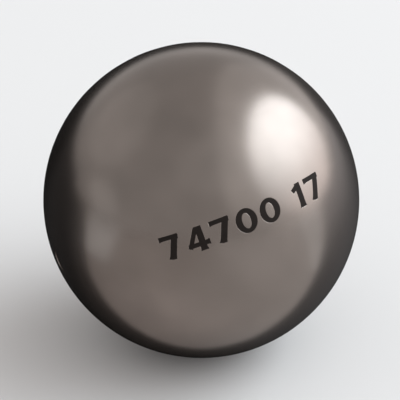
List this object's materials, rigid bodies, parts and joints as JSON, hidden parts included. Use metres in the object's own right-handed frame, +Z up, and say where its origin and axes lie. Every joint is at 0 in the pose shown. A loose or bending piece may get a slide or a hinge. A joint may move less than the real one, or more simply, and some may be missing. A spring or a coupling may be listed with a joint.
{
  "type": "petanque boule",
  "caption": "Hollow steel throwing ball for petanque, smooth satin finish, built of welded half-shells.",
  "frame": {"origin": "centre of the ball", "axes": "+Z is up and along the axis that both half-shells are turned about, so the weld lies in the XY plane; -Y is the front, where the engraved figures face"},
  "size_m": [0.074, 0.074, 0.074],
  "materials": {
    "shell_steel": "satin",
    "weld_steel": "satin",
    "mark_black": "matte"
  },
  "bodies": {
    "root": {"upper_shell": "shell_steel", "lower_shell": "shell_steel", "weld_bead": "weld_steel"}
  },
  "joints": []
}
